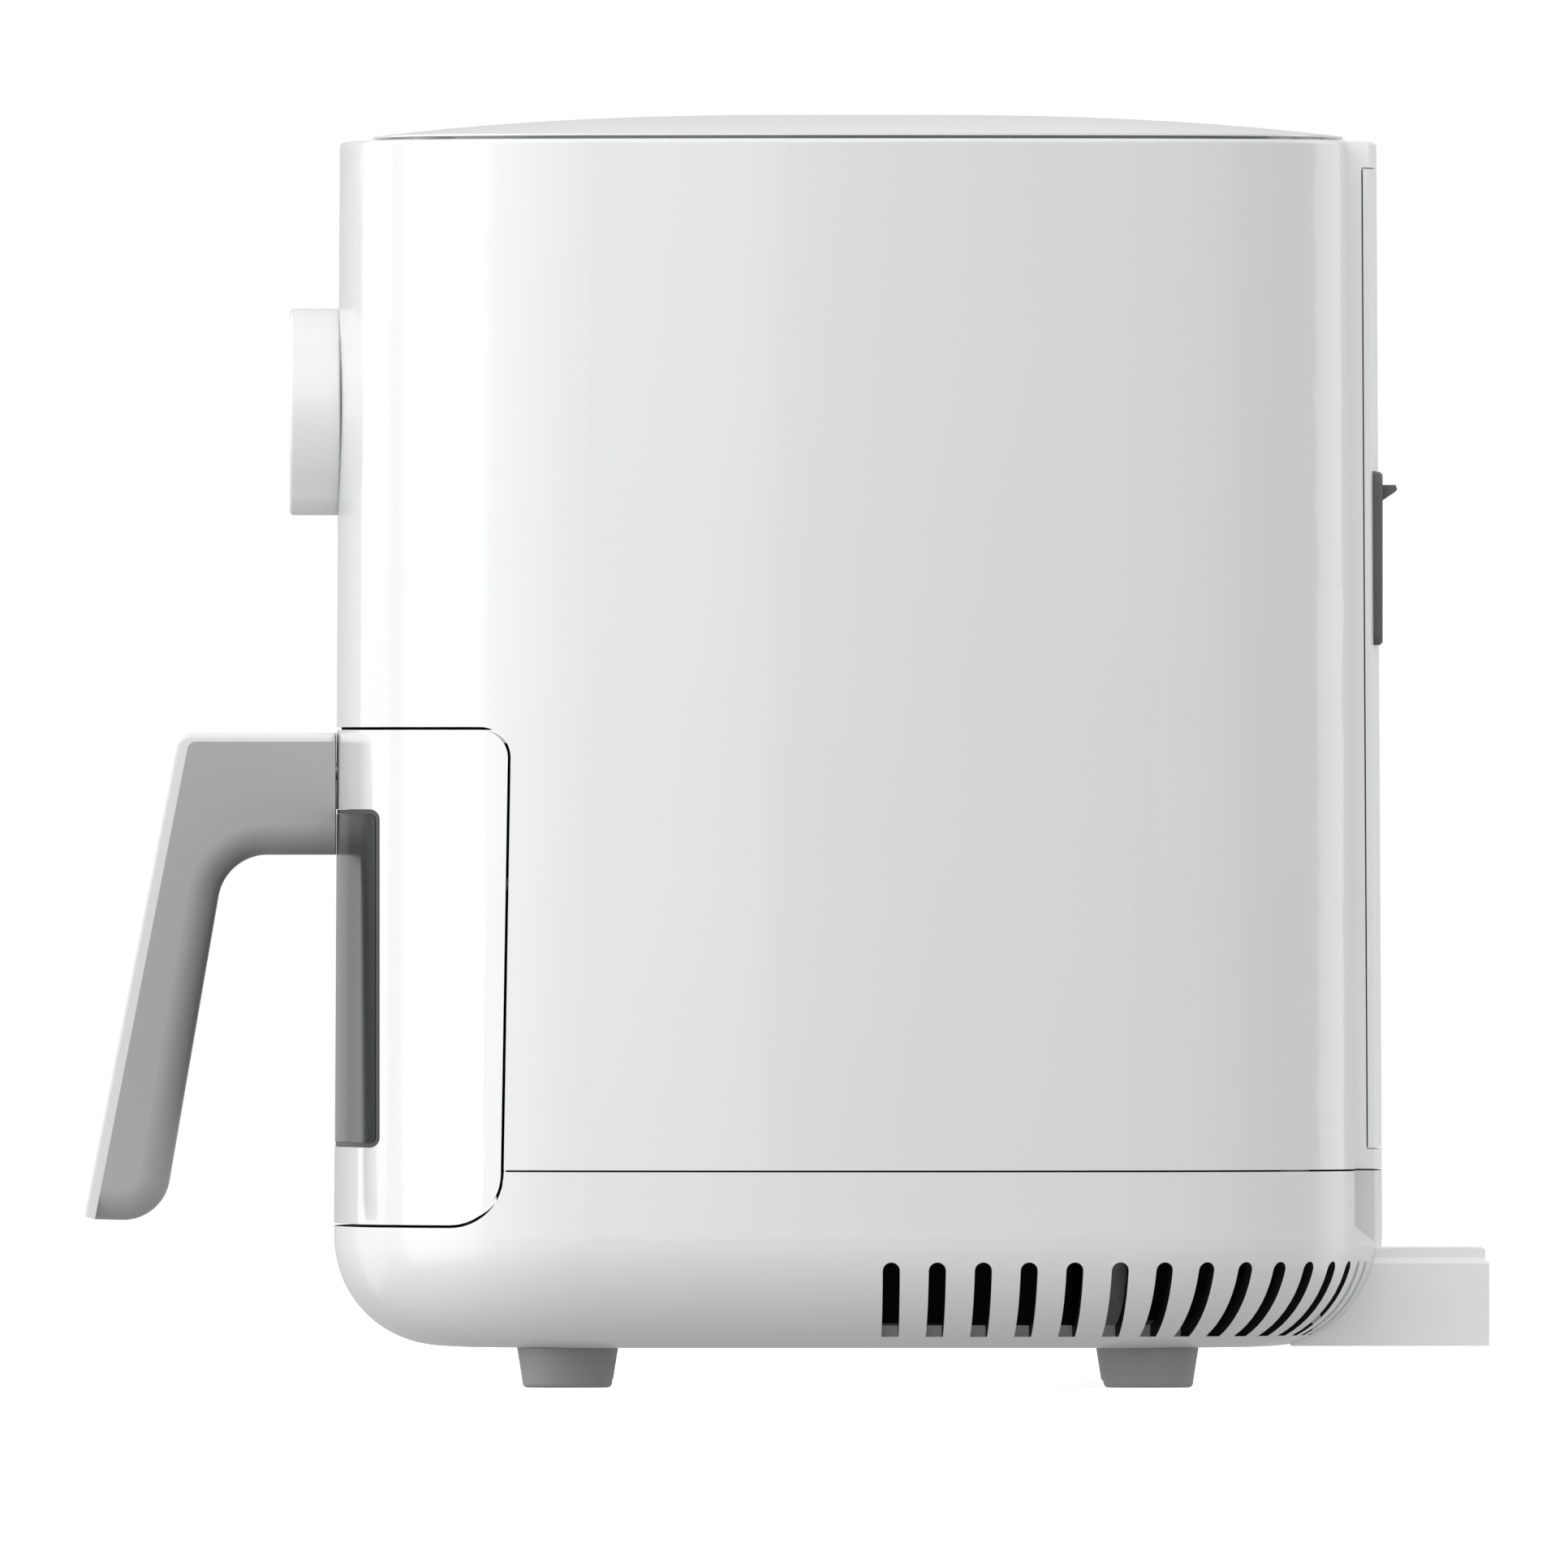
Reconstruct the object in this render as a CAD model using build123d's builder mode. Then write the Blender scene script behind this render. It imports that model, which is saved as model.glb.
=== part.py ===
from build123d import *
import os

os.makedirs("parts", exist_ok=True)

# Basket-type air fryer with a pull-out drawer, a turning and pressing knob and a wall spacer.
# +Z is up, the front faces -Y, and the origin is on the ground under the middle of the whole length.

# ---------------------------------------------------------------- driving dimensions, millimetres
overall_length = 337.0
overall_height = 304.0
body_width = 252.0
body_depth = 251.0
body_centre = 17.45
side_bulge = 17.3
corner_radius = 68.0
foot_height = 9.5
seam_height = 52.0
shell_top = 297.6
draft_slope = 0.0053
wall = 3.0
base_wall = 2.6
running_gap = 0.5

body_front = body_centre - body_depth / 2
seam_gap = 0.7

# Drawer front, seen from the side
bay_top = 157.2
bay_bottom = 38.5
bay_rear_high = -65.6
bay_rear_low = -67.6
bay_radius_high = 7.0
bay_radius_low = 12.6
window_top = 137.9
window_bottom = 57.2
window_depth = 11.3
window_radius = 2.4

# Rear: a raised field between two cut-back corners
raised_half_width = 38.0
crease_low = 136.0
crease_high = 133.7
ledge_height = 38.4
ledge_fall = 0.81

# Drawer pan and cooking chamber
pan_half_width = 92.0
pan_front = -69.5
pan_rear = 116.0
pan_bottom = 50.0
pan_top = 148.0
sheet = 1.2
liner_half_width = 101.0
liner_front = -62.5
liner_rear = 125.0
liner_bottom = 44.0
liner_top = 158.0

# Fan axis and knob axis
fan_y = 31.0
knob_height = 233.1
knob_radius = 24.75
knob_front = -118.7
knob_back = -106.4

# Handle
handle_top = 156.2
arm_bottom = 127.0
handle_tip = -overall_length / 2
handle_tip_height = 40.7
handle_lean = 0.1965
handle_width = 34.0
grip_depth = 19.5
cover_top = 2.1
cover_front = 3.4


# ---------------------------------------------------------------- shared outlines
def plan_outline(height, scale_x, scale_y):
    """Rounded-square plan of the body with bulged sides, scaled about its centre."""
    half_x = body_width / 2 * scale_x
    half_y = body_depth / 2 * scale_y
    corner_x = half_x - side_bulge * scale_x
    corner_y = half_y - side_bulge * scale_y
    front = body_centre - corner_y
    rear = body_centre + corner_y
    with BuildSketch(Plane.XY.offset(height)) as outline:
        with BuildLine():
            ThreePointArc((-corner_x, front), (0, body_centre - half_y), (corner_x, front))
            ThreePointArc((corner_x, front), (half_x, body_centre), (corner_x, rear))
            ThreePointArc((corner_x, rear), (0, body_centre + half_y), (-corner_x, rear))
            ThreePointArc((-corner_x, rear), (-half_x, body_centre), (-corner_x, front))
        make_face()
        fillet(outline.vertices(), corner_radius * scale_x)
    return outline.sketch


def body_outline(height, inset=0.0):
    """Plan of the outer skin at a height, moved inwards by an inset."""
    shrink = draft_slope * (height - seam_height) + inset
    return plan_outline(height, 1 - 2 * shrink / body_width, 1 - 2 * shrink / body_depth)


def body_block(bottom, top, inset=0.0):
    """Solid of the body between two heights, inset from the outer skin."""
    with BuildPart() as block:
        loft([body_outline(bottom, inset), body_outline(top, inset)], ruled=True)
    return block.part


def side_block(points, half_width):
    """Prism of a side profile, given as (y, z) points, centred on the middle plane."""
    with BuildPart() as block:
        with BuildSketch(Plane.YZ):
            with BuildLine():
                Polyline(*points, close=True)
            make_face()
        extrude(amount=half_width, both=True)
    return block.part


def box_block(low, high, radius=0.0):
    """Box between two corners, with its upright edges rounded."""
    size_x = high[0] - low[0]
    size_y = high[1] - low[1]
    middle = ((low[0] + high[0]) / 2, (low[1] + high[1]) / 2)
    with BuildPart() as block:
        with BuildSketch(Plane.XY.offset(low[2])):
            with Locations(middle):
                Rectangle(size_x, size_y)
        extrude(amount=high[2] - low[2])
        if radius > 0:
            fillet(block.edges().filter_by(Axis.Z), radius)
    return block.part


def bay_block(margin):
    """Space of the drawer front as seen from the side, grown by a margin."""
    front = handle_tip * 2
    with BuildPart() as block:
        with BuildSketch(Plane.YZ) as profile:
            with BuildLine():
                Polyline(
                    (front, bay_bottom - margin),
                    (bay_rear_low + margin, bay_bottom - margin),
                    (bay_rear_high + margin, bay_top + margin),
                    (front, bay_top + margin),
                    close=True,
                )
            make_face()
            upper = profile.vertices().group_by(Axis.Y)[-1].sort_by(Axis.X)[-1]
            fillet(upper, bay_radius_high + margin)
            lower = profile.vertices().group_by(Axis.Y)[0].sort_by(Axis.X)[-1]
            fillet(lower, bay_radius_low + margin)
        extrude(amount=body_width, both=True)
    return block.part


def window_block(margin):
    """Space of the drawer window as seen from the side, grown by a margin."""
    front = handle_tip * 2
    rear = body_front + window_depth + margin
    with BuildPart() as block:
        with BuildSketch(Plane.YZ) as profile:
            with BuildLine():
                Polyline(
                    (front, window_bottom - margin),
                    (rear, window_bottom - margin),
                    (rear, window_top + margin),
                    (front, window_top + margin),
                    close=True,
                )
            make_face()
            fillet(profile.vertices().group_by(Axis.X)[-1], max(window_radius + margin, 0.8))
        extrude(amount=body_width, both=True)
    return block.part


# ---------------------------------------------------------------- rear corner cut-backs
crease_fall = (crease_low - crease_high) / (shell_top - ledge_height)


def crease_y(height):
    """Depth of the cut-back flats beside the raised rear field."""
    return crease_low - crease_fall * (height - ledge_height)


cut_back_rear = 160.0
with BuildPart() as rear_cut_backs:
    with BuildSketch(Plane.YZ.offset(raised_half_width)):
        with BuildLine():
            Polyline(
                (crease_low, ledge_height),
                (crease_y(300.0), 300.0),
                (cut_back_rear, 300.0),
                (cut_back_rear, ledge_height - ledge_fall * (cut_back_rear - crease_low)),
                close=True,
            )
        make_face()
    extrude(amount=70)
    fillet(rear_cut_backs.edges().filter_by(Axis.X).group_by(Axis.Y)[0].sort_by(Axis.Z)[0], 3.0)
    mirror(about=Plane.YZ)

# ---------------------------------------------------------------- main housing
hollow_top = shell_top - 2.5
housing_block = body_block(seam_height, shell_top)
hollow_block = body_block(seam_height, hollow_top, wall)
behind_flats = side_block(
    [
        (crease_y(40.0) - wall, 40.0),
        (crease_y(300.0) - wall, 300.0),
        (cut_back_rear, 300.0),
        (cut_back_rear, 40.0),
    ],
    body_width,
)
raised_hollow = body_block(seam_height + 4.0, hollow_top - 2.0, 5.3)
raised_slot = box_block((-34.8, 120.0, 40.0), (34.8, 160.0, 300.0))
panel_half_width = 38.0
panel_bottom = 57.0
panel_top = 291.0
panel_depth = 1.5
panel_gap = 0.35
panel_screw_places = [(0.0, 72.0), (0.0, 276.0)]
panel_skin = body_block(seam_height, shell_top)
panel_core = body_block(seam_height, shell_top, panel_depth)
panel_room = box_block(
    (-panel_half_width - 0.4, 120.0, panel_bottom - 0.4),
    (panel_half_width + 0.4, 160.0, panel_top + 0.4),
)
rebate = panel_room - body_block(seam_height, shell_top, panel_depth + panel_gap)
cover_opening = body_outline(shell_top - 4.0, 12.0)
grille_half_width = 33.0
grille_bottom = 177.2
grille_top = 218.6
duct_half_width = 30.5
housing_hollow = hollow_block - behind_flats + (raised_hollow & raised_slot)

with BuildPart() as main_housing:
    add(housing_block)
    fillet(main_housing.faces().sort_by(Axis.Z)[-1].edges(), 1.0)
    add(rear_cut_backs.part, mode=Mode.SUBTRACT)
    add(housing_hollow, mode=Mode.SUBTRACT)
    add(rebate, mode=Mode.SUBTRACT)
    extrude(cover_opening, amount=8.0, mode=Mode.SUBTRACT)
    add(bay_block(seam_gap / 2), mode=Mode.SUBTRACT)
    with BuildSketch(Plane.XZ.offset(-160)):
        with Locations((0, (grille_bottom + grille_top) / 2)):
            Rectangle(2 * grille_half_width + 0.4, grille_top - grille_bottom + 0.4)
    extrude(amount=40, mode=Mode.SUBTRACT)
    with BuildSketch(Plane.XZ.offset(-160)):
        with Locations(*panel_screw_places):
            Circle(1.55)
    extrude(amount=40, mode=Mode.SUBTRACT)
    with BuildSketch(Plane.XZ.offset(105.6)):
        with Locations((0, knob_height)):
            Circle(knob_radius + running_gap)
    extrude(amount=20, mode=Mode.SUBTRACT)
    with BuildSketch(Plane.XZ.offset(95)):
        with Locations((0, knob_height)):
            Circle(16.5)
    extrude(amount=20, mode=Mode.SUBTRACT)
main_housing.part.label = "main_housing"
export_step(main_housing.part, "parts/main_housing.step")

# ---------------------------------------------------------------- top cover
cover_inset = 8.0
cover_bottom = 298.45
cover_edge = 298.9
dome_power = 2.7
cap_scale = 0.3
cover_scale_x = 1 - 2 * (draft_slope * (shell_top - seam_height) + cover_inset) / body_width
cover_scale_y = 1 - 2 * (draft_slope * (shell_top - seam_height) + cover_inset) / body_depth


def dome_height(ratio):
    """Height of the domed cover at a ratio of the way from its middle to its edge."""
    rise = (overall_height - cover_edge) / (1 - cap_scale**dome_power)
    return cover_edge + rise * (1 - ratio**dome_power)


def dome_block(drop, shrink):
    """Domed solid of the cover, lowered and shrunk for its inner face."""
    sections = []
    for ratio in (1.0, 0.93, 0.84, 0.72, 0.52, cap_scale):
        height = dome_height(ratio) - drop
        scale = ratio * shrink
        sections.append(plan_outline(height, cover_scale_x * scale, cover_scale_y * scale))
    with BuildPart() as block:
        loft(sections)
    return block.part


cover_dome = dome_block(0.0, 1.0)
cover_inner_dome = dome_block(2.4, 0.86)
skirt_outline = body_outline(290.5, 12.6)
skirt_inner = body_outline(289.5, 14.8)
with BuildPart() as top_cover:
    add(cover_dome)
    extrude(plan_outline(cover_bottom, cover_scale_x, cover_scale_y), amount=cover_edge - cover_bottom)
    extrude(skirt_outline, amount=cover_bottom - 290.5 + 0.3)
    extrude(skirt_inner, amount=cover_edge - 2.4 - 289.5 + 0.05, mode=Mode.SUBTRACT)
    add(cover_inner_dome, mode=Mode.SUBTRACT)
top_cover.part.label = "top_cover"
export_step(top_cover.part, "parts/top_cover.step")

# ---------------------------------------------------------------- base housing
base_floor = 14.6
bottom_round = 26.0
spacer_half_width = 37.0
spacer_top = 32.9
spacer_step = 30.7
spacer_rear = overall_length / 2
foot_x = 80.0
foot_front_y = -52.0
foot_rear_y = 86.6
screw_x = 50.0
screw_front_y = -25.0
screw_rear_y = 75.0
screw_places = [(x, y) for x in (-screw_x, screw_x) for y in (screw_front_y, screw_rear_y)]
foot_places = [(x, y) for x in (-foot_x, foot_x) for y in (foot_front_y, foot_rear_y)]

with BuildPart() as base_hollow:
    add(body_block(base_floor, seam_height, base_wall))
    fillet(base_hollow.faces().sort_by(Axis.Z)[0].edges(), 20.0)
    add(behind_flats, mode=Mode.SUBTRACT)
    add(box_block((-200, crease_y(14.0) - wall, 10.0), (200, cut_back_rear, 41.0)), mode=Mode.SUBTRACT)

# Vent slots follow the outline round both rear corners at an even pitch.
vent_pitch = 11.0
vent_count = 15
vent_start = 7.8
vent_width = 4.1
vent_top = 30.1
vent_bottom = 12.3
vent_depth = 18.5
outline_wire = plan_outline(0.0, 1.0, 1.0).wire()
side_middle = outline_wire.param_at_point(Vector(body_width / 2, body_centre, 0))
turns_rearwards = outline_wire.tangent_at(side_middle).Y > 0
slot_planes = []
for number in range(vent_count):
    travelled = (vent_start + number * vent_pitch) / outline_wire.length
    place = side_middle + (travelled if turns_rearwards else -travelled)
    point = outline_wire.position_at(place % 1.0)
    along = outline_wire.tangent_at(place % 1.0) * (1 if turns_rearwards else -1)
    outward = along.cross(Vector(0, 0, 1))
    slot_planes.append(Plane(origin=point + outward * 2, x_dir=along, z_dir=outward))
    left_point = Vector(-point.X, point.Y, 0)
    left_outward = Vector(-outward.X, outward.Y, 0)
    left_along = Vector(along.X, -along.Y, 0)
    slot_planes.append(Plane(origin=left_point + left_outward * 2, x_dir=left_along, z_dir=left_outward))

# A narrow lip stands inside the shell and closes the seam between the two mouldings.
seam_line = 0.45
lip_reach_height = 54.5
lip_zone = box_block((-200, -58.0, 40.0), (200, 118.0, lip_reach_height))
lip_core = body_block(48.0, lip_reach_height + 1, 4.3)
lip_foot = body_block(49.0, 51.0, 2.0) & lip_zone
lip_wall = body_block(49.0, lip_reach_height, wall + 0.1) & lip_zone

with BuildPart() as base_tray:
    add(body_block(foot_height, seam_height - seam_line))
    fillet(base_tray.faces().sort_by(Axis.Z)[0].edges(), bottom_round)
    add(base_hollow.part, mode=Mode.SUBTRACT)
    add((lip_foot + lip_wall) - lip_core)
    add(bay_block(seam_gap / 2), mode=Mode.SUBTRACT)
    add(rear_cut_backs.part, mode=Mode.SUBTRACT)
    # Vents
    with BuildSketch(*slot_planes):
        with Locations((0, (vent_top + vent_bottom - vent_width / 2) / 2)):
            Rectangle(vent_width, vent_top - vent_bottom - vent_width / 2)
        with Locations((0, vent_top - vent_width / 2)):
            Circle(vent_width / 2)
    extrude(amount=-(vent_depth + 2), mode=Mode.SUBTRACT)
    # Screw posts that carry the cooking chamber
    with BuildSketch(Plane.XY.offset(base_floor - 1)):
        with Locations(*screw_places):
            Circle(6.5)
    extrude(amount=liner_bottom - base_floor + 0.9)
    with BuildSketch(Plane.XY.offset(foot_height)):
        with Locations(*screw_places):
            Circle(4.4)
    extrude(amount=22.5, mode=Mode.SUBTRACT)
    with BuildSketch(Plane.XY.offset(foot_height)):
        with Locations(*screw_places):
            Circle(2.2)
    extrude(amount=40, mode=Mode.SUBTRACT)
    with BuildSketch(Plane.XY.offset(foot_height)):
        with Locations(*foot_places):
            Circle(4.05)
    extrude(amount=8, mode=Mode.SUBTRACT)

# ---------------------------------------------------------------- wall spacer
spacer_front = 121.0
with BuildPart() as base_envelope:
    add(body_block(foot_height, seam_height))
    fillet(base_envelope.faces().sort_by(Axis.Z)[0].edges(), bottom_round)

with BuildPart() as wall_spacer:
    with BuildSketch(Plane.XY.offset(foot_height)):
        with Locations((0, (spacer_front + spacer_rear) / 2)):
            Rectangle(2 * spacer_half_width, spacer_rear - spacer_front)
    extrude(amount=spacer_step - foot_height)
    fillet(wall_spacer.edges().filter_by(Axis.Z).group_by(Axis.Y)[-1], 2.0)
    lower_top_edges = wall_spacer.faces().sort_by(Axis.Z)[-1].edges()
    chamfer(lower_top_edges - lower_top_edges.group_by(Axis.Y)[0], 1.4)
    with BuildSketch(Plane.XY.offset(spacer_step - 2)):
        with Locations((0, (spacer_front + spacer_rear - 1.0) / 2)):
            Rectangle(2 * spacer_half_width - 2.8, spacer_rear - 1.0 - spacer_front)
    extrude(amount=spacer_top - spacer_step + 2)
    fillet(wall_spacer.faces().sort_by(Axis.Z)[-1].edges().group_by(Axis.Y)[-1], 0.6)
    with BuildSketch(Plane.XY.offset(foot_height)):
        with Locations((0, (148.0 + spacer_rear - 2.5) / 2)):
            Rectangle(2 * spacer_half_width - 5, spacer_rear - 2.5 - 148.0)
    extrude(amount=spacer_step - foot_height - 0.5, mode=Mode.SUBTRACT)
    add(base_envelope.part, mode=Mode.SUBTRACT)
wall_spacer.part.label = "wall_spacer"
export_step(wall_spacer.part, "parts/wall_spacer.step")

gland_x = -24.0
gland_height = 44.0
with BuildPart() as base_housing:
    add(base_tray.part)
    with BuildSketch(Plane.XZ.offset(-160)):
        with Locations((gland_x, gland_height)):
            Circle(5.0)
    extrude(amount=40, mode=Mode.SUBTRACT)
    with BuildSketch(Plane.XZ.offset(-160)):
        with Locations((gland_x, gland_height)):
            Circle(6.6)
    extrude(amount=160 - 140.6, mode=Mode.SUBTRACT)
base_housing.part.label = "base_housing"
export_step(base_housing.part, "parts/base_housing.step")

# ---------------------------------------------------------------- air divider behind the vents
divider_top = 43.2
divider_rear_top = 62.0
with BuildPart() as air_divider:
    with BuildSketch(Plane.YZ):
        with BuildLine():
            Polyline(
                (8.0, base_floor + 0.1),
                (115.0, base_floor + 0.1),
                (124.0, 17.5),
                (129.0, 22.5),
                (129.0, divider_rear_top),
                (liner_rear + 1.2, divider_rear_top),
                (liner_rear + 1.2, divider_top),
                (8.0, divider_top),
                close=True,
            )
        make_face()
    extrude(amount=1.2, both=True)
air_divider.part.label = "air_divider"
export_step(air_divider.part, "parts/air_divider.step")

# ---------------------------------------------------------------- cord gland, with an empty bore
with BuildPart() as cord_gland:
    with BuildSketch(Plane.XZ.offset(-128)):
        with Locations((gland_x, gland_height)):
            Circle(4.9)
            Circle(3.6, mode=Mode.SUBTRACT)
    extrude(amount=-13)
    with BuildSketch(Plane.XZ.offset(-140.7)):
        with Locations((gland_x, gland_height)):
            Circle(6.5)
            Circle(3.6, mode=Mode.SUBTRACT)
    extrude(amount=-1.2)
cord_gland.part.label = "cord_gland"
export_step(cord_gland.part, "parts/cord_gland.step")

# ---------------------------------------------------------------- feet
foot_names = ["foot_front_left", "foot_rear_left", "foot_front_right", "foot_rear_right"]
for foot_name, foot_place in zip(foot_names, foot_places):
    with BuildPart() as foot:
        with BuildSketch():
            with Locations(foot_place):
                Circle(10.5)
        with BuildSketch(Plane.XY.offset(foot_height)):
            with Locations(foot_place):
                Circle(12.0)
        loft()
        fillet(foot.edges().group_by(Axis.Z)[0], 1.2)
        with BuildSketch(Plane.XY.offset(foot_height)):
            with Locations(foot_place):
                Circle(4.0)
        extrude(amount=6.5)
    foot.part.label = foot_name
    export_step(foot.part, f"parts/{foot_name}.step")

# ---------------------------------------------------------------- rear panel, grille and duct
panel_block = box_block(
    (-panel_half_width, 120.0, panel_bottom), (panel_half_width, 160.0, panel_top)
)


def screw_seat(height):
    """Depth of the counterbore's floor in the rear panel at a height."""
    return body_centre + body_depth / 2 - draft_slope * (height - seam_height) - 1.0


with BuildPart() as rear_panel:
    add((panel_skin & panel_block) - panel_core)
    with BuildSketch(Plane.XZ.offset(-160)):
        with Locations((0, (grille_bottom + grille_top) / 2)):
            Rectangle(2 * grille_half_width + 0.4, grille_top - grille_bottom + 0.4)
    extrude(amount=40, mode=Mode.SUBTRACT)
    with BuildSketch(Plane.XZ.offset(-160)):
        with Locations(*panel_screw_places):
            Circle(1.7)
    extrude(amount=40, mode=Mode.SUBTRACT)
    for place in panel_screw_places:
        with BuildSketch(Plane.XZ.offset(-160)):
            with Locations(place):
                Circle(3.4)
        extrude(amount=160 - screw_seat(place[1]), mode=Mode.SUBTRACT)
rear_panel.part.label = "rear_panel"
export_step(rear_panel.part, "parts/rear_panel.step")

with BuildPart() as rear_panel_screws:
    for place in panel_screw_places:
        seat = screw_seat(place[1]) + 0.02
        with BuildSketch(Plane.XZ.offset(-seat)):
            with Locations(place):
                Circle(3.1)
        extrude(amount=-0.8)
        with BuildSketch(Plane.XZ.offset(-132.0)):
            with Locations(place):
                Circle(1.5)
        extrude(amount=132.0 - seat)
        with BuildSketch(Plane.XZ.offset(-seat - 1.8)):
            with Locations(place):
                Rectangle(3.6, 0.8)
                Rectangle(0.8, 3.6)
        extrude(amount=1.4, mode=Mode.SUBTRACT)
rear_panel_screws.part.label = "rear_panel_screws"
export_step(rear_panel_screws.part, "parts/rear_panel_screws.step")

grille_front = 142.9
grille_back = 139.75
lip_height = 215.5
with BuildPart() as exhaust_grille:
    with BuildSketch(Plane.XZ.offset(-grille_back)):
        with Locations((0, (grille_bottom + grille_top) / 2)):
            RectangleRounded(2 * grille_half_width, grille_top - grille_bottom, 3.0)
    extrude(amount=-(grille_front - grille_back))
    chamfer(exhaust_grille.faces().sort_by(Axis.Y)[-1].edges(), 0.6)
    # Visor that turns the hot air downwards
    with BuildSketch(Plane.YZ):
        with BuildLine():
            Polyline(
                (grille_front - 1.0, lip_height),
                (146.0, lip_height),
                (146.4, lip_height - 1.0),
                (146.0, lip_height - 1.6),
                (grille_front - 1.0, lip_height - 4.4),
                close=True,
            )
        make_face()
    extrude(amount=grille_half_width - 3, both=True)
    with BuildSketch(Plane.XZ.offset(-grille_front)):
        with Locations((0, (grille_bottom + 208.5) / 2)):
            with GridLocations(19.5, 5.2, 3, 6):
                SlotOverall(16.0, 3.0)
    extrude(amount=20, mode=Mode.SUBTRACT)
exhaust_grille.part.label = "exhaust_grille"
export_step(exhaust_grille.part, "parts/exhaust_grille.step")

with BuildPart() as exhaust_duct:
    add(box_block((-duct_half_width, fan_y + 88.4, 179.5), (duct_half_width, grille_back, 216.2)))
    add(box_block((-duct_half_width + 1.6, 100.0, 181.1), (duct_half_width - 1.6, 150.0, 214.6)),
        mode=Mode.SUBTRACT)
exhaust_duct.part.label = "exhaust_duct"
export_step(exhaust_duct.part, "parts/exhaust_duct.step")

# ---------------------------------------------------------------- drawer bay frame
bay_inner = body_block(bay_bottom - 4.0, bay_top + 4.0, wall + 0.3)
bay_shell = bay_block(2.8) - bay_block(0.8)
opening_half_width = 96.5
opening_bottom = 47.0
opening_top = 152.5
switch_x = 105.5
switch_height = 120.0
with BuildPart() as bay_frame:
    add(bay_shell & bay_inner)
    with BuildSketch(Plane.XZ.offset(80)):
        with Locations((0, (opening_bottom + opening_top) / 2)):
            RectangleRounded(2 * opening_half_width, opening_top - opening_bottom, 6)
    extrude(amount=-40, mode=Mode.SUBTRACT)
    with BuildSketch(Plane.XZ.offset(80)):
        with Locations((switch_x, switch_height)):
            Circle(2.3)
    extrude(amount=-40, mode=Mode.SUBTRACT)
bay_frame.part.label = "drawer_bay_frame"
export_step(bay_frame.part, "parts/drawer_bay_frame.step")

# ---------------------------------------------------------------- cooking chamber
liner_outer = box_block(
    (-liner_half_width, liner_front, liner_bottom), (liner_half_width, liner_rear, liner_top), 34.0
)
liner_inner = box_block(
    (-liner_half_width + 1, liner_front + 1, liner_bottom + 1),
    (liner_half_width - 1, liner_rear - 1, liner_top + 10),
    33.0,
)
with BuildPart() as chamber_liner:
    add(liner_outer)
    add(liner_inner, mode=Mode.SUBTRACT)
    add(box_block((-96.5, liner_front - 5, 47.0), (96.5, -20.0, liner_top + 10)), mode=Mode.SUBTRACT)
    with BuildSketch(Plane.XY.offset(liner_bottom - 1)):
        with Locations(*screw_places):
            Circle(2.05)
    extrude(amount=4, mode=Mode.SUBTRACT)
chamber_liner.part.label = "chamber_liner"
export_step(chamber_liner.part, "parts/chamber_liner.step")

with BuildPart() as drawer_rails:
    with BuildSketch(Plane.XY.offset(liner_bottom + 1)):
        with Locations((-72, 28), (72, 28)):
            SlotOverall(150, 8, rotation=90)
    extrude(amount=pan_bottom - 0.4 - liner_bottom - 1)
drawer_rails.part.label = "drawer_rails"
export_step(drawer_rails.part, "parts/drawer_rails.step")

spring_reach = pan_half_width + 0.5
with BuildPart() as catch_springs:
    with BuildSketch(Plane.XY.offset(94)):
        with BuildLine():
            ThreePointArc((100, 22), (spring_reach, 40), (100, 58))
            Line((100, 58), (100, 57))
            ThreePointArc((100, 57), (spring_reach + 0.7, 40), (100, 23))
            Line((100, 23), (100, 22))
        make_face()
    extrude(amount=12)
    mirror(about=Plane.YZ)
catch_springs.part.label = "drawer_catch_springs"
export_step(catch_springs.part, "parts/drawer_catch_springs.step")

# ---------------------------------------------------------------- heater, guard and hood
hood_top = 188.0
with BuildPart() as hood_room:
    with BuildSketch(Plane.XY.offset(liner_top - 1)):
        with Locations((0, fan_y)):
            RectangleRounded(189.6, 173.6, 38.8)
    extrude(amount=hood_top - liner_top - 0.2)
    fillet(hood_room.faces().sort_by(Axis.Z)[-1].edges(), 10.8)

with BuildPart() as heater_hood:
    with BuildSketch(Plane.XY.offset(liner_top)):
        with Locations((0, (liner_front + liner_rear) / 2)):
            RectangleRounded(2 * liner_half_width + 4, liner_rear - liner_front, 34)
    extrude(amount=1.2)
    with BuildSketch(Plane.XY.offset(liner_top)):
        with Locations((0, fan_y)):
            RectangleRounded(192, 176, 40)
    extrude(amount=hood_top - liner_top)
    fillet(heater_hood.faces().sort_by(Axis.Z)[-1].edges(), 12)
    add(hood_room.part, mode=Mode.SUBTRACT)
    with BuildSketch(Plane.XY.offset(hood_top - 4)):
        with Locations((0, fan_y)):
            Circle(7)
            with Locations((70, 0), (78, 0)):
                Circle(3.2)
    extrude(amount=8, mode=Mode.SUBTRACT)
heater_hood.part.label = "heater_hood"
export_step(heater_hood.part, "parts/heater_hood.step")

element_height = 169.0
tube_radius = 3.0
with BuildPart() as heating_element:
    for ring_radius in (62.0, 78.0):
        with Locations((0, fan_y, element_height)):
            Torus(ring_radius, tube_radius)
    with BuildSketch(Plane.YZ.offset(60)):
        with Locations((fan_y, element_height)):
            Circle(tube_radius - 0.1)
    extrude(amount=20)
    with BuildSketch(Plane.XY.offset(element_height)):
        with Locations((70, fan_y), (78, fan_y)):
            Circle(2.8)
    extrude(amount=27)
heating_element.part.label = "heating_element"
export_step(heating_element.part, "parts/heating_element.step")

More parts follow.
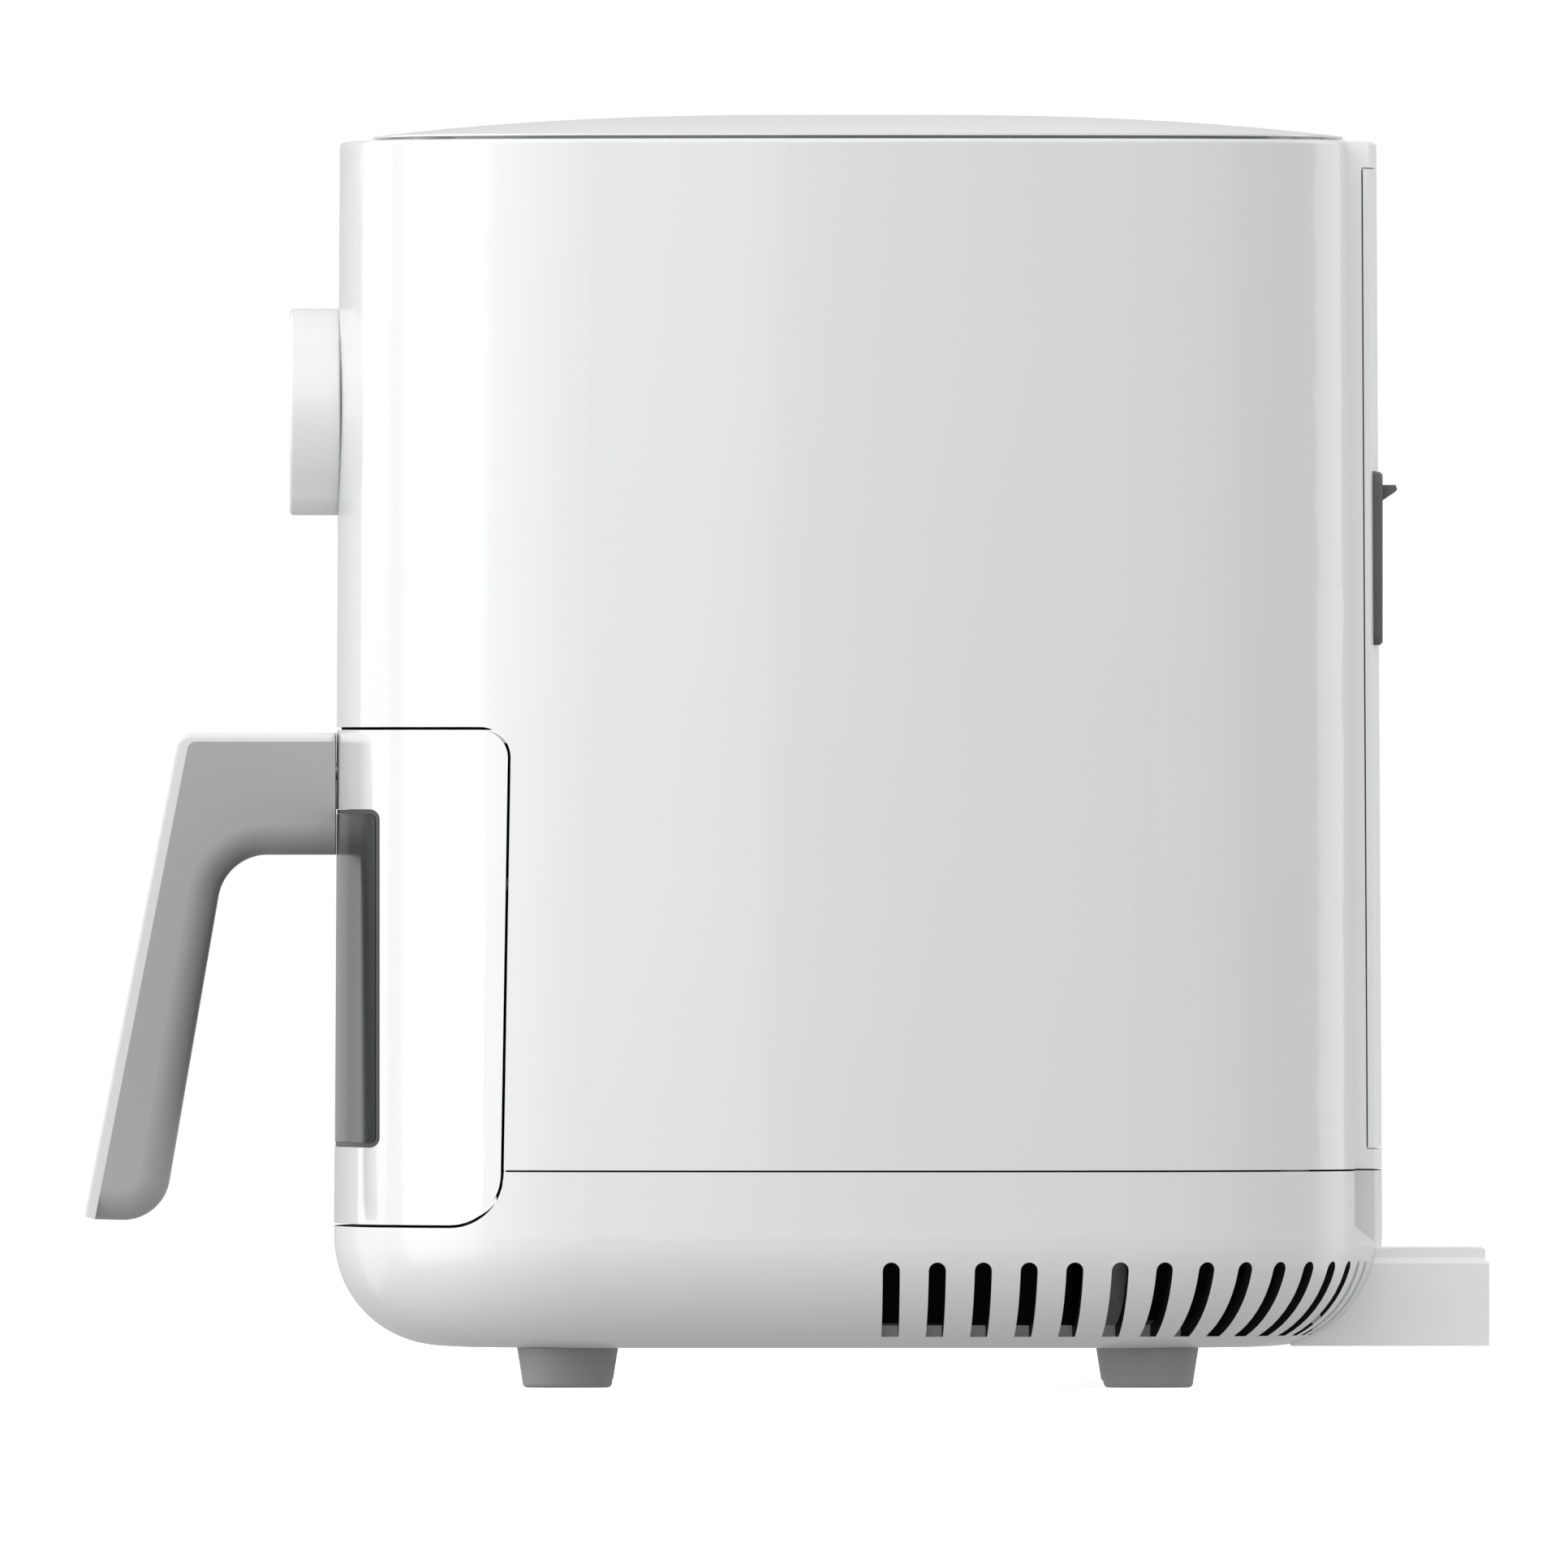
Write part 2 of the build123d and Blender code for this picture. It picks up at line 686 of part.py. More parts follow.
with BuildPart() as heater_guard:
    for ring_radius in (22.0, 42.0, 62.0, 82.0):
        with Locations((0, fan_y, 161.0)):
            Torus(ring_radius, 1.1)
    with BuildSketch(Plane.XY.offset(160.2)):
        with Locations((0, fan_y)):
            Rectangle(189, 2.4)
            Rectangle(2.4, 173)
            Circle(6)
    extrude(amount=1.6)
heater_guard.part.label = "heater_guard"
export_step(heater_guard.part, "parts/heater_guard.step")

with BuildPart() as heat_shield:
    with BuildSketch(Plane.XY.offset(195)):
        with Locations((0, fan_y)):
            RectangleRounded(184, 150, 24)
            Circle(11, mode=Mode.SUBTRACT)
            with Locations((70, 0), (78, 0)):
                Circle(3.6, mode=Mode.SUBTRACT)
    extrude(amount=1.0)
    with BuildSketch(Plane.XY.offset(hood_top)):
        with Locations((0, fan_y)):
            with GridLocations(130, 110, 2, 2):
                Circle(5)
    extrude(amount=195 - hood_top)
heat_shield.part.label = "heat_shield"
export_step(heat_shield.part, "parts/heat_shield.step")

with BuildPart() as temperature_sensor:
    with BuildSketch(Plane.YZ.offset(-93)):
        with Locations((fan_y + 30, 164.5)):
            Circle(2.0)
    extrude(amount=18)
    with BuildSketch(Plane.YZ.offset(-94.7)):
        with Locations((fan_y + 30, 164.5)):
            RegularPolygon(4.0, 6)
    extrude(amount=2)
temperature_sensor.part.label = "temperature_sensor"
export_step(temperature_sensor.part, "parts/temperature_sensor.step")

with BuildPart() as thermal_fuse:
    with BuildSketch(Plane.XY.offset(196.0)):
        with Locations((-72, fan_y)):
            RectangleRounded(26, 14, 3)
    extrude(amount=1.2)
    with BuildSketch(Plane.XY.offset(197.2)):
        with Locations((-72, fan_y)):
            Circle(6.5)
    extrude(amount=5.5)
thermal_fuse.part.label = "thermal_cut_out"
export_step(thermal_fuse.part, "parts/thermal_cut_out.step")

# ---------------------------------------------------------------- motor and fans
shaft_radius = 4.0
with BuildPart() as motor_bracket:
    with BuildSketch(Plane.XY.offset(203)):
        with Locations((0, fan_y)):
            SlotOverall(112, 44)
            Circle(14, mode=Mode.SUBTRACT)
    extrude(amount=1.5)
    with BuildSketch(Plane.XY.offset(196)):
        with Locations((-46, fan_y), (46, fan_y)):
            Circle(5)
    extrude(amount=7)
motor_bracket.part.label = "motor_bracket"
export_step(motor_bracket.part, "parts/motor_bracket.step")

with BuildPart() as motor_stator:
    with BuildSketch(Plane.XY.offset(204.5)):
        with Locations((0, fan_y)):
            Circle(30)
            Circle(9.0, mode=Mode.SUBTRACT)
    extrude(amount=30)
    fillet(motor_stator.edges().group_by(Axis.Z)[-1].sort_by(SortBy.LENGTH)[-1], 4)
motor_stator.part.label = "motor_stator"
export_step(motor_stator.part, "parts/motor_stator.step")

with BuildPart() as motor_bearings:
    for bearing_bottom in (205.0, 227.0):
        with BuildSketch(Plane.XY.offset(bearing_bottom)):
            with Locations((0, fan_y)):
                Circle(9.0)
                Circle(shaft_radius + 0.05, mode=Mode.SUBTRACT)
        extrude(amount=7)
motor_bearings.part.label = "motor_bearings"
export_step(motor_bearings.part, "parts/motor_bearings.step")

with BuildPart() as motor_screws:
    with BuildSketch(Plane.XY.offset(204.5)):
        with Locations((-46, fan_y), (46, fan_y)):
            Circle(3.4)
    extrude(amount=2.4)
motor_screws.part.label = "motor_screws"
export_step(motor_screws.part, "parts/motor_screws.step")

with BuildPart() as motor_shaft:
    with BuildSketch(Plane.XY.offset(173)):
        with Locations((0, fan_y)):
            Circle(shaft_radius)
    extrude(amount=80)
    chamfer(motor_shaft.edges().filter_by(GeomType.CIRCLE), 0.5)
motor_shaft.part.label = "motor_shaft"
export_step(motor_shaft.part, "parts/motor_shaft.step")

with BuildPart() as hot_fan:
    with BuildSketch(Plane.XY.offset(175)):
        with Locations((0, fan_y)):
            Circle(9)
            Circle(shaft_radius, mode=Mode.SUBTRACT)
    extrude(amount=8)
    with BuildSketch(Plane.XY.offset(182)):
        with Locations((0, fan_y)):
            Circle(54)
            Circle(shaft_radius, mode=Mode.SUBTRACT)
    extrude(amount=1.2)
    with BuildSketch(Plane.XY.offset(174.5)):
        with Locations((0, fan_y)):
            with PolarLocations(38, 12):
                Rectangle(30, 1.4, rotation=18)
    extrude(amount=8)
hot_fan.part.label = "hot_air_fan"
export_step(hot_fan.part, "parts/hot_air_fan.step")

with BuildPart() as cooling_fan:
    with BuildSketch(Plane.XY.offset(239)):
        with Locations((0, fan_y)):
            Circle(12)
            Circle(shaft_radius, mode=Mode.SUBTRACT)
    extrude(amount=12)
    with BuildSketch(Plane.XY.offset(240)):
        with Locations((0, fan_y)):
            with PolarLocations(27, 9):
                Rectangle(34, 1.6, rotation=12)
    extrude(amount=10)
cooling_fan.part.label = "cooling_fan"
export_step(cooling_fan.part, "parts/cooling_fan.step")

# ---------------------------------------------------------------- electronics
tray_height = 258.0
with BuildPart() as board_tray:
    with BuildSketch(Plane.XY.offset(tray_height)):
        with Locations((0, body_centre)):
            Rectangle(238, 76)
            with Locations((30, fan_y - body_centre)):
                Circle(22, mode=Mode.SUBTRACT)
    extrude(amount=2)
board_tray.part.label = "board_tray"
export_step(board_tray.part, "parts/board_tray.step")

with BuildPart() as power_board:
    with BuildSketch(Plane.XY.offset(tray_height + 6)):
        with Locations((-70, body_centre)):
            Rectangle(84, 66)
    extrude(amount=1.6)
    with BuildSketch(Plane.XY.offset(tray_height + 2)):
        with Locations((-70, body_centre)):
            with GridLocations(74, 56, 2, 2):
                Circle(2.5)
    extrude(amount=4)
power_board.part.label = "power_board"
export_step(power_board.part, "parts/power_board.step")

component_base = tray_height + 7.6
with BuildPart() as power_components:
    with BuildSketch(Plane.XY.offset(component_base)):
        with Locations((-98, 0), (-98, 18)):
            Circle(6)
    extrude(amount=16)
    with BuildSketch(Plane.XY.offset(component_base)):
        with Locations((-72, 2)):
            Rectangle(19, 15)
        with Locations((-72, 32)):
            Rectangle(24, 20)
        with Locations((-42, 12)):
            Rectangle(12, 34)
    extrude(amount=15)
power_components.part.label = "power_board_components"
export_step(power_components.part, "parts/power_board_components.step")

board_front = 98.0
with BuildPart() as control_board:
    with BuildSketch(Plane.XZ.offset(board_front - 1.6)):
        with Locations((0, knob_height)):
            Rectangle(64, 58)
    extrude(amount=1.6)
    with BuildSketch(Plane.XZ.offset(board_front)):
        with Locations((0, knob_height)):
            Rectangle(7, 7)
    extrude(amount=1.6)
control_board.part.label = "control_board"
export_step(control_board.part, "parts/control_board.step")

with BuildPart() as encoder:
    with BuildSketch(Plane.XZ.offset(board_front)):
        with Locations((0, knob_height)):
            Circle(15)
            Circle(9, mode=Mode.SUBTRACT)
    extrude(amount=2.6)
encoder.part.label = "knob_encoder"
export_step(encoder.part, "parts/knob_encoder.step")

with BuildPart() as door_switch:
    with BuildSketch(Plane.XZ.offset(62)):
        with Locations((switch_x, switch_height)):
            Rectangle(6, 20)
    extrude(amount=-14)
    with BuildSketch(Plane.XZ.offset(62)):
        with Locations((switch_x, switch_height)):
            Circle(1.55)
    extrude(amount=-8, mode=Mode.SUBTRACT)
door_switch.part.label = "drawer_switch"
export_step(door_switch.part, "parts/drawer_switch.step")

with BuildPart() as switch_plunger:
    with BuildSketch(Plane.XZ.offset(-pan_front - 0.3)):
        with Locations((switch_x, switch_height)):
            Circle(1.5)
    extrude(amount=-(-pan_front - 0.3 - 58))
    fillet(switch_plunger.edges().group_by(Axis.Y)[0], 0.8)
switch_plunger.part.label = "switch_plunger"
export_step(switch_plunger.part, "parts/switch_plunger.step")

with BuildPart() as base_screws:
    with BuildSketch(Plane.XY.offset(29.2)):
        with Locations(*screw_places):
            Circle(3.8)
    extrude(amount=2.8)
    with BuildSketch(Plane.XY.offset(32)):
        with Locations(*screw_places):
            Circle(2.0)
    extrude(amount=14)
    with BuildSketch(Plane.XY.offset(29.2)):
        with Locations(*screw_places):
            Rectangle(4.4, 0.9)
            Rectangle(0.9, 4.4)
    extrude(amount=1.5, mode=Mode.SUBTRACT)
base_screws.part.label = "base_screws"
export_step(base_screws.part, "parts/base_screws.step")

# ---------------------------------------------------------------- knob
ring_bore = 19.6
with BuildPart() as knob_ring:
    with BuildSketch(Plane.XZ.offset(-knob_back)):
        with Locations((0, knob_height)):
            Circle(knob_radius)
            Circle(15.5 - 2.0, mode=Mode.SUBTRACT)
    extrude(amount=1.7)
    with BuildSketch(Plane.XZ.offset(-knob_back)):
        with Locations((0, knob_height)):
            Circle(knob_radius)
            Circle(ring_bore, mode=Mode.SUBTRACT)
    extrude(amount=-knob_front + knob_back)
    with BuildSketch(Plane.XZ.offset(-knob_back)):
        with Locations((0, knob_height)):
            Circle(15.5)
            Circle(13.5, mode=Mode.SUBTRACT)
    extrude(amount=-4.6)
    fillet(knob_ring.edges().group_by(Axis.Y)[0], 1.0)
    outer_edges = knob_ring.edges().filter_by(GeomType.CIRCLE).filter_by_position(
        Axis.Y, knob_back - 0.1, knob_back + 0.1
    )
    fillet(outer_edges.sort_by(SortBy.LENGTH)[-1], 0.6)
knob_ring.part.label = "knob_ring"
export_step(knob_ring.part, "parts/knob_ring.step")

lens_radius = 17.2
hub_front = knob_front + 0.5
with BuildPart() as knob_hub:
    with BuildSketch(Plane.XZ.offset(-knob_back + 2.4)):
        with Locations((0, knob_height)):
            Circle(ring_bore - running_gap)
    extrude(amount=-hub_front + knob_back - 2.4)
    with BuildSketch(Plane.XZ.offset(-hub_front - 2.2)):
        with Locations((0, knob_height)):
            Circle(lens_radius)
    extrude(amount=5, mode=Mode.SUBTRACT)
    with BuildSketch(Plane.XZ.offset(-knob_back + 3)):
        with Locations((0, knob_height)):
            Circle(6)
    extrude(amount=-9.0)
knob_hub.part.label = "knob_hub"
export_step(knob_hub.part, "parts/knob_hub.step")

with BuildPart() as display_lens:
    with BuildSketch(Plane.XZ.offset(-hub_front - 2.2)):
        with Locations((0, knob_height)):
            Circle(lens_radius - 0.05)
    extrude(amount=2.3)
    fillet(display_lens.edges().group_by(Axis.Y)[0], 0.3)
display_lens.part.label = "display_lens"
export_step(display_lens.part, "parts/display_lens.step")

# ---------------------------------------------------------------- drawer front and window
front_block = body_block(bay_bottom - 2.0, bay_top + 2.0)
front_hollow = body_block(bay_bottom - 2.0, bay_top + 2.0, wall)
hollow_room = bay_block(-seam_gap / 2 - wall)
hollow_rear = box_block((-200, -90.0, bay_bottom + 3.4), (200, -60.0, bay_top - 3.4))
handle_screw_places = [(-7.0, 147.0), (7.0, 147.0)]
with BuildPart() as drawer_front:
    add(front_block & bay_block(-seam_gap / 2))
    add(front_hollow & (hollow_room + hollow_rear), mode=Mode.SUBTRACT)
    add(window_block(0.0) - front_hollow, mode=Mode.SUBTRACT)
    with BuildSketch(Plane.XZ.offset(95)):
        with Locations(*handle_screw_places):
            Circle(2.2)
    extrude(amount=20, mode=Mode.SUBTRACT)
drawer_front.part.label = "drawer_front_panel"
export_step(drawer_front.part, "parts/drawer_front_panel.step")

frame_skin = body_block(window_bottom - 8.0, window_top + 8.0, 0.25)
frame_core = body_block(window_bottom - 8.0, window_top + 8.0, 4.6)
flange_skin = body_block(window_bottom - 8.0, window_top + 8.0, wall + 0.05)
glass_skin = body_block(window_bottom - 8.0, window_top + 8.0, 0.1)
glass_core = body_block(window_bottom - 8.0, window_top + 8.0, 2.8)
with BuildPart() as window_frame:
    add((frame_skin & window_block(-0.1)) - frame_core)
    add((flange_skin & window_block(3.0)) - frame_core)
    add(window_block(-1.1) - glass_core, mode=Mode.SUBTRACT)
    add(window_block(-2.2), mode=Mode.SUBTRACT)
window_frame.part.label = "window_frame"
export_step(window_frame.part, "parts/window_frame.step")

with BuildPart() as outer_glass:
    add((glass_skin & window_block(-1.15)) - glass_core)
outer_glass.part.label = "window_outer_glass"
export_step(outer_glass.part, "parts/window_outer_glass.step")

back_plate_front = 72.0
with BuildPart() as drawer_back:
    with BuildSketch(Plane.XZ.offset(-pan_front)):
        with Locations((0, (bay_bottom + bay_top) / 2)):
            RectangleRounded(2 * 108.5, bay_top - bay_bottom - 7.4, 8)
        with Locations((0, 101)):
            RectangleRounded(128, 70, 5, mode=Mode.SUBTRACT)
    extrude(amount=back_plate_front + pan_front)
    add(body_block(bay_bottom, bay_top, wall + 0.1) & bay_block(-seam_gap / 2), mode=Mode.INTERSECT)
drawer_back.part.label = "drawer_back_panel"
export_step(drawer_back.part, "parts/drawer_back_panel.step")

with BuildPart() as inner_glass:
    with BuildSketch(Plane.XZ.offset(back_plate_front)):
        with Locations((0, 101)):
            RectangleRounded(136, 78, 5)
    extrude(amount=3)
inner_glass.part.label = "window_inner_glass"
export_step(inner_glass.part, "parts/window_inner_glass.step")

with BuildPart() as drawer_seal:
    with BuildSketch(Plane.XZ.offset(-pan_front)):
        with Locations((0, (46.5 + 152.8) / 2)):
            RectangleRounded(2 * 99.5, 152.8 - 46.5, 8)
            RectangleRounded(2 * 94.8, 152.8 - 46.5 - 6, 5, mode=Mode.SUBTRACT)
    extrude(amount=-1.4)
drawer_seal.part.label = "drawer_seal"
export_step(drawer_seal.part, "parts/drawer_seal.step")

# ---------------------------------------------------------------- pan and crisper plate
pan_radius = 30.0
lip_reach = 2.4
lip_start = 4.0
with BuildPart() as pan_room:
    add(box_block(
        (-pan_half_width + sheet, pan_front + sheet, pan_bottom + sheet),
        (pan_half_width - sheet, pan_rear - sheet, pan_top + 10),
        pan_radius - sheet,
    ))
    fillet(pan_room.faces().sort_by(Axis.Z)[0].edges(), 8.0)

with BuildPart() as basket_pan:
    add(box_block(
        (-pan_half_width, pan_front, pan_bottom), (pan_half_width, pan_rear, pan_top), pan_radius
    ))
    fillet(basket_pan.faces().sort_by(Axis.Z)[0].edges(), 9.0)
    add(box_block(
        (-pan_half_width - lip_reach, pan_front + lip_start, pan_top - sheet),
        (pan_half_width + lip_reach, pan_rear + lip_reach, pan_top),
        pan_radius,
    ))
    add(pan_room.part, mode=Mode.SUBTRACT)
    with BuildSketch(Plane.XZ.offset(80)):
        with Locations((0, 101)):
            RectangleRounded(116, 58, 6)
    extrude(amount=-20, mode=Mode.SUBTRACT)
basket_pan.part.label = "drawer_pan"
export_step(basket_pan.part, "parts/drawer_pan.step")

plate_bottom = 60.0
plate_thickness = 2.0
plate_inset = 2.6
plate_middle = (pan_front + pan_rear) / 2
plate_half_x = pan_half_width - sheet - plate_inset
plate_half_y = (pan_rear - pan_front) / 2 - sheet - plate_inset
bumper_y = 50.0
with BuildPart() as crisper_plate:
    with BuildSketch(Plane.XY.offset(plate_bottom)):
        with Locations((0, plate_middle)):
            RectangleRounded(2 * plate_half_x, 2 * plate_half_y, pan_radius - 4)
            with GridLocations(15, 15, 9, 9):
                Circle(3.2, mode=Mode.SUBTRACT)
            Circle(9, mode=Mode.SUBTRACT)
    extrude(amount=plate_thickness)
    with BuildSketch(Plane.XY.offset(pan_bottom + sheet + 0.4)):
        with Locations((0, plate_middle)):
            with GridLocations(150, 150, 2, 2):
                Circle(3.5)
    extrude(amount=plate_bottom - pan_bottom - sheet - 0.4)
crisper_plate.part.label = "crisper_plate"
export_step(crisper_plate.part, "parts/crisper_plate.step")

bumper_reach = pan_half_width - sheet - running_gap
with BuildPart() as plate_bumpers:
    for side in (-1, 1):
        with Locations(
            (side * (bumper_reach - 2.5), plate_middle - bumper_y, plate_bottom + 1),
            (side * (bumper_reach - 2.5), plate_middle + bumper_y, plate_bottom + 1),
        ):
            Box(5.0, 16.0, 9.0)
    add(
        box_block(
            (-plate_half_x, plate_middle - plate_half_y, plate_bottom),
            (plate_half_x, plate_middle + plate_half_y, plate_bottom + plate_thickness),
        ),
        mode=Mode.SUBTRACT,
    )
plate_bumpers.part.label = "plate_bumpers"
export_step(plate_bumpers.part, "parts/plate_bumpers.step")

# ---------------------------------------------------------------- handle
front_top = handle_tip + handle_lean * (handle_top - handle_tip_height)
arm_end = body_front + 0.35


def lean_y(height, inward):
    """Depth of the handle's leaning front line at a height, moved towards the body."""
    return handle_tip + handle_lean * (height - handle_tip_height) + inward


tip_bottom = 39.3
with BuildPart() as grip_block:
    with BuildSketch(Plane.YZ) as grip_profile:
        with BuildLine():
            Polyline(
                (arm_end, handle_top - cover_top),
                (lean_y(handle_top - cover_top, cover_front), handle_top - cover_top),
                (lean_y(tip_bottom + 0.4, cover_front), tip_bottom + 0.4),
                (lean_y(tip_bottom, grip_depth), tip_bottom),
                (lean_y(arm_bottom, 17.4), arm_bottom),
                (arm_end, arm_bottom),
                close=True,
            )
        make_face()
        inner_corner = grip_profile.vertices().sort_by_distance((lean_y(arm_bottom, 17.4), arm_bottom))[0]
        fillet(inner_corner, 12)
        tip_corner = grip_profile.vertices().sort_by_distance((lean_y(tip_bottom, grip_depth), tip_bottom))[0]
        fillet(tip_corner, 11)
        top_corner = grip_profile.vertices().group_by(Axis.Y)[-1].sort_by(Axis.X)[0]
        fillet(top_corner, 2.0)
    extrude(amount=handle_width / 2, both=True)

with BuildPart() as handle_grip:
    add(grip_block.part)
    # The finger side is rounded along the arm, the inner corner and the tip.
    side_edges = handle_grip.edges().filter_by(
        lambda edge: abs(abs(edge.center().X) - handle_width / 2) < 0.01
    )
    finger_edges = side_edges.filter_by(
        lambda edge: edge.center().Y > lean_y(edge.center().Z, 8.0) and edge.center().Z < arm_bottom + 1
    )
    fillet(finger_edges, 7.0)
    with BuildSketch(Plane.XZ.offset(-arm_end - 2)):
        with Locations(*handle_screw_places):
            Circle(2.05)
    extrude(amount=14, mode=Mode.SUBTRACT)
handle_grip.part.label = "handle_grip"
export_step(handle_grip.part, "parts/handle_grip.step")

with BuildPart() as handle_cover:
    with BuildSketch(Plane.YZ) as cover_profile:
        with BuildLine():
            Polyline(
                (arm_end, handle_top),
                (front_top, handle_top),
                (handle_tip, handle_tip_height),
                (lean_y(tip_bottom + 0.4, cover_front), tip_bottom + 0.4),
                (lean_y(handle_top - cover_top, cover_front), handle_top - cover_top),
                (arm_end, handle_top - cover_top),
                close=True,
            )
        make_face()
        outer_corner = cover_profile.vertices().sort_by_distance((front_top, handle_top))[0]
        fillet(outer_corner, 4.2)
        inner_corner = cover_profile.vertices().sort_by_distance(
            (lean_y(handle_top - cover_top, cover_front), handle_top - cover_top)
        )[0]
        fillet(inner_corner, 2.0)
    extrude(amount=handle_width / 2, both=True)
    outer_edges = handle_cover.edges().filter_by(
        lambda edge: abs(abs(edge.center().X) - handle_width / 2) < 0.01
        and (edge.center().Z > handle_top - 2 or edge.center().Y < lean_y(edge.center().Z, 0.9))
    )
    fillet(outer_edges, 1.4)
handle_cover.part.label = "handle_cover"
export_step(handle_cover.part, "parts/handle_cover.step")

with BuildPart() as handle_screws:
    with BuildSketch(Plane.XZ.offset(101.8)):
        with Locations(*handle_screw_places):
            Circle(3.8)
    extrude(amount=2.4)
    with BuildSketch(Plane.XZ.offset(103)):
        with Locations(*handle_screw_places):
            Circle(2.0)
    extrude(amount=16)
handle_screws.part.label = "handle_screws"
export_step(handle_screws.part, "parts/handle_screws.step")
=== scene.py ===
"""Looks of the air fryer: materials, display, floor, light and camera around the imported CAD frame."""
import math

import bpy
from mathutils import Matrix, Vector


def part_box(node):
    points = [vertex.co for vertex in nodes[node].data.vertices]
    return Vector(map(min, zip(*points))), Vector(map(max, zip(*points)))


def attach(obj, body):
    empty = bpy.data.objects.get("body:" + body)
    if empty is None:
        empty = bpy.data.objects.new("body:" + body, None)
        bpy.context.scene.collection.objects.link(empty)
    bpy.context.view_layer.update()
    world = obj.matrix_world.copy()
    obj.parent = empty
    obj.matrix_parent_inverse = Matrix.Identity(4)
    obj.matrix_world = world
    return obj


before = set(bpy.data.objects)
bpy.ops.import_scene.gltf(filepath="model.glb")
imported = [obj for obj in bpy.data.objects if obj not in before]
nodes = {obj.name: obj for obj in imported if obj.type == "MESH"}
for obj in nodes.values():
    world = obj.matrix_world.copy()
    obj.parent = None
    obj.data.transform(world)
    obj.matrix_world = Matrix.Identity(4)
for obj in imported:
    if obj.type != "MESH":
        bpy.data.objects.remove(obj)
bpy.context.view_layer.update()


# ---------------------------------------------------------------- materials
broad_share = 1 / 30
broad_detail = 3.0
fine_detail = 2.0
ramp_low = 0.3
ramp_high = 0.7
bump_depth = 0.0002
smoothest = 0.01


def make_material(name, colour, roughness, metallic=0.0, coat=0.0, mottle=0.03, grain=900.0,
                  bump=0.02, rough_swing=0.04, stretch=(1.0, 1.0, 1.0), alpha=1.0, coat_rough=0.05,
                  specular=0.5, transmission=0.0):
    """A moulded, cast or rolled surface: slightly uneven colour and gloss with a fine grain."""
    material = bpy.data.materials.new(name)
    material.use_nodes = True
    tree = material.node_tree
    tree.nodes.clear()
    link = tree.links.new
    output = tree.nodes.new("ShaderNodeOutputMaterial")
    shader = tree.nodes.new("ShaderNodeBsdfPrincipled")
    link(shader.outputs["BSDF"], output.inputs["Surface"])
    place = tree.nodes.new("ShaderNodeTexCoord")
    mapping = tree.nodes.new("ShaderNodeMapping")
    mapping.inputs["Scale"].default_value = stretch
    link(place.outputs["Object"], mapping.inputs["Vector"])

    broad = tree.nodes.new("ShaderNodeTexNoise")
    broad.inputs["Scale"].default_value = grain * broad_share
    broad.inputs["Detail"].default_value = broad_detail
    link(mapping.outputs["Vector"], broad.inputs["Vector"])
    shades = tree.nodes.new("ShaderNodeValToRGB")
    low = [max(c * (1 - mottle), 0.0) for c in colour]
    high = [min(c * (1 + mottle), 1.0) for c in colour]
    shades.color_ramp.elements[0].position = ramp_low
    shades.color_ramp.elements[0].color = (*low, 1.0)
    shades.color_ramp.elements[1].position = ramp_high
    shades.color_ramp.elements[1].color = (*high, 1.0)
    link(broad.outputs["Fac"], shades.inputs["Fac"])
    link(shades.outputs["Color"], shader.inputs["Base Color"])

    gloss = tree.nodes.new("ShaderNodeMapRange")
    gloss.inputs["To Min"].default_value = max(roughness - rough_swing, smoothest)
    gloss.inputs["To Max"].default_value = roughness + rough_swing
    link(broad.outputs["Fac"], gloss.inputs["Value"])
    link(gloss.outputs["Result"], shader.inputs["Roughness"])

    fine = tree.nodes.new("ShaderNodeTexNoise")
    fine.inputs["Scale"].default_value = grain
    fine.inputs["Detail"].default_value = fine_detail
    link(mapping.outputs["Vector"], fine.inputs["Vector"])
    relief = tree.nodes.new("ShaderNodeBump")
    relief.inputs["Strength"].default_value = bump
    relief.inputs["Distance"].default_value = bump_depth
    link(fine.outputs["Fac"], relief.inputs["Height"])
    link(relief.outputs["Normal"], shader.inputs["Normal"])

    shader.inputs["Metallic"].default_value = metallic
    shader.inputs["Coat Weight"].default_value = coat
    shader.inputs["Coat Roughness"].default_value = coat_rough
    shader.inputs["Specular IOR Level"].default_value = specular
    shader.inputs["Transmission Weight"].default_value = transmission
    shader.inputs["Alpha"].default_value = alpha
    return material


def make_glowing_material(name, low, high, noise_scale, strength, roughness):
    """A faintly mottled surface that gives off light of its own colour."""
    material = bpy.data.materials.new(name)
    material.use_nodes = True
    tree = material.node_tree
    shader = tree.nodes["Principled BSDF"]
    noise = tree.nodes.new("ShaderNodeTexNoise")
    noise.inputs["Scale"].default_value = noise_scale
    shades = tree.nodes.new("ShaderNodeValToRGB")
    shades.color_ramp.elements[0].color = (*low, 1.0)
    shades.color_ramp.elements[1].color = (*high, 1.0)
    tree.links.new(noise.outputs["Fac"], shades.inputs["Fac"])
    tree.links.new(shades.outputs["Color"], shader.inputs["Base Color"])
    tree.links.new(shades.outputs["Color"], shader.inputs["Emission Color"])
    shader.inputs["Emission Strength"].default_value = strength
    shader.inputs["Roughness"].default_value = roughness
    return material


def add_object(name, verts, faces, material):
    """A mesh object of one material, linked to the scene."""
    mesh = bpy.data.meshes.new(name)
    mesh.from_pydata(verts, [], faces)
    mesh.materials.append(material)
    placed = bpy.data.objects.new(name, mesh)
    bpy.context.scene.collection.objects.link(placed)
    return placed


